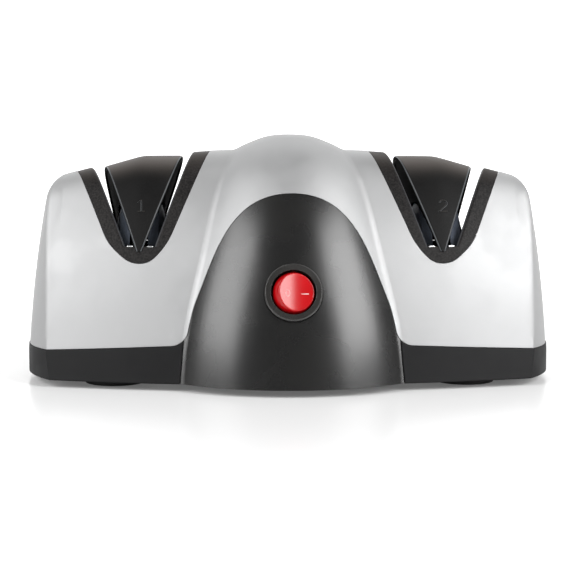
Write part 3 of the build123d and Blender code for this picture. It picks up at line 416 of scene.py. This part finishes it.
rocker_red = plastic("rocker_red", (0.38, 0.001, 0.003), (0.46, 0.002, 0.005),
                     (0.18, 0.21), depth=0.0, specular=0.52)
mark_white = plastic("mark_white", (0.80, 0.76, 0.76), (0.86, 0.82, 0.82), (0.35, 0.45),
                     depth=0.0)
mark_rose = plastic("mark_rose", (0.62, 0.30, 0.30), (0.70, 0.36, 0.36), (0.25, 0.30),
                    depth=0.0)
steel = plastic("steel", (0.60, 0.61, 0.62), (0.70, 0.70, 0.71), (0.22, 0.34), metal=1.0)
abrasive_fine = plastic("abrasive_fine", (0.12, 0.14, 0.19), (0.20, 0.23, 0.29),
                        (0.5, 0.7), grain=5200.0, depth=0.05, metal=0.3)
abrasive_coarse = plastic("abrasive_coarse", (0.10, 0.12, 0.16), (0.18, 0.21, 0.26),
                          (0.5, 0.7), grain=3200.0, depth=0.1, metal=0.3)
copper = plastic("copper", (0.55, 0.22, 0.10), (0.70, 0.32, 0.16), (0.25, 0.4), metal=1.0)
brass = plastic("brass", (0.62, 0.45, 0.20), (0.72, 0.54, 0.28), (0.25, 0.4), metal=1.0)
white_plastic = plastic("white_plastic", (0.72, 0.72, 0.69), (0.80, 0.80, 0.77),
                        (0.35, 0.45))
laminate = plastic("laminate", (0.30, 0.20, 0.09), (0.40, 0.28, 0.13), (0.4, 0.5))

by_slot = {
    "silver_shell": silver, "panel_black": panel_black, "base_charcoal": charcoal,
    "guide_black": guide_black, "guide_grey": wedge_grey, "foot_rubber": rubber,
    "strip_steel": steel, "screw_steel": steel, "can_steel": steel, "bell_metal": steel,
    "bush_bronze": brass, "magnet_ferrite": charcoal, "shaft_steel": steel,
    "core_steel": steel, "winding_copper": copper, "commutator_copper": copper,
    "brush_carbon": charcoal, "spring_steel": steel, "fan_plastic": white_plastic,
    "fine_abrasive": abrasive_fine, "coarse_abrasive": abrasive_coarse,
    "cradle_plastic": charcoal, "board_laminate": laminate, "component_black": charcoal,
    "gland_black": rubber, "bezel_grey": bezel_grey, "rocker_red": rocker_red,
    "contact_metal": brass,
}
for part in frame["record"]["subparts"]:
    mesh = nodes[part["node"]].data
    mesh.materials.clear()
    mesh.materials.append(by_slot[part["material_slot"]])


# ---------------------------------------------------------------- marks
class Face:
    """The spot of a CAD node that a pixel of the photograph shows, as a place to draw on."""

    def __init__(self, node, pixel):
        self.solid = nodes[node]
        self.pixel = pixel
        self.view = camera_frame()
        depth = -(self.view.inverted() @ self.touch(0, 0, 1)[0]).z
        self.pixels_per_mm = FOCAL_PIXELS * MM / depth

    def touch(self, x, y, scale):
        """First point of the solid under a spot x to the right and y up, and its normal."""
        across = self.pixel[0] - MAIN_POINT[0] + x * scale
        up = MAIN_POINT[1] - self.pixel[1] + y * scale
        ray = self.view.to_3x3() @ Vector((across, up, -FOCAL_PIXELS)).normalized()
        hit, place, normal, _ = self.solid.ray_cast(self.view.translation, ray)
        if not hit:
            raise ValueError("no surface under the mark")
        return place, normal

    def point(self, x, y, lift):
        """Point x to the right and y up, as seen, raised off the surface; all in mm."""
        place, normal = self.touch(x, y, self.pixels_per_mm)
        return place + normal * lift * MM


def draw_stroke(name, face, points, width, lift, material, body, closed=False,
                thin_start=1.0):
    """Raised stroke of round section along points on a face.

    Its first half widens from thin_start, a share of its width, to the full width.
    """
    curve = bpy.data.curves.new(name, "CURVE")
    curve.dimensions = "3D"
    curve.bevel_depth = width / 2 * MM
    curve.bevel_resolution = 3
    curve.use_fill_caps = True
    spline = curve.splines.new("POLY")
    spline.points.add(len(points) - 1)
    for index, (spot, (x, y)) in enumerate(zip(spline.points, points)):
        spot.co = (*face.point(x, y, lift - width / 2), 1)
        spot.radius = thin_start + (1 - thin_start) * min(1.0, 2 * index / len(points))
    spline.use_cyclic_u = closed
    guide = bpy.data.objects.new(name, curve)
    mesh = bpy.data.meshes.new_from_object(guide)
    bpy.data.objects.remove(guide)
    mesh.name = name
    mesh.materials.clear()
    mesh.materials.append(material)
    mesh.shade_smooth()
    piece = add_object(name, mesh)
    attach(piece, body)


def draw_digit(name, face, points):
    """Raised stroke of a stage number."""
    draw_stroke(name, face, points, DIGIT_WIDTH, DIGIT_LIFT, wedge_grey,
                "housing")


def line_points(corners):
    """Points along straight runs between corners, no further apart than POINT_STEP."""
    points = [corners[0]]
    for (x0, y0), (x1, y1) in zip(corners, corners[1:]):
        count = max(1, math.ceil(math.hypot(x1 - x0, y1 - y0) / POINT_STEP))
        points += [(x0 + (x1 - x0) * i / count, y0 + (y1 - y0) * i / count)
                   for i in range(1, count + 1)]
    return points


def arc_points(middle, radii, start, end, count):
    """Points on an ellipse's arc, angles in degrees."""
    angles = [math.radians(start + (end - start) * i / count) for i in range(count + 1)]
    return [(middle[0] + radii[0] * math.cos(a), middle[1] + radii[1] * math.sin(a))
            for a in angles]


one = line_points([(-1.2, 1.3), (0.1, DIGIT_HALF), (0.1, -DIGIT_HALF)])
foot = line_points([(-1.4, -DIGIT_HALF), (1.6, -DIGIT_HALF)])
two = (arc_points((0, DIGIT_HALF - BOWL[1]), BOWL, 165, -35, 16)
       + line_points([(1.15, 0.15), (-1.7, -DIGIT_HALF), (1.9, -DIGIT_HALF)]))
ring = arc_points((0, 0), RING, 0, 345, 23)
dash = line_points([(-DASH_HALF, 0), (DASH_HALF, 0)])

left_wedge = Face("left_guide_wedge", LEFT_DIGIT)
draw_digit("stage_mark_1_stem", left_wedge, one)
draw_digit("stage_mark_1_foot", left_wedge, foot)
draw_digit("stage_mark_2", Face("right_guide_wedge", RIGHT_DIGIT), two)
draw_stroke("rocker_mark_off", Face("rocker", OFF_MARK), ring, ROCKER_STROKE, ROCKER_LIFT,
            mark_rose, "rocker_switch", closed=True)
draw_stroke("rocker_mark_on", Face("rocker", ON_MARK), dash, ROCKER_STROKE, ROCKER_LIFT,
            mark_white, "rocker_switch", thin_start=0.8)

bpy.context.scene.view_settings.view_transform = "Standard"
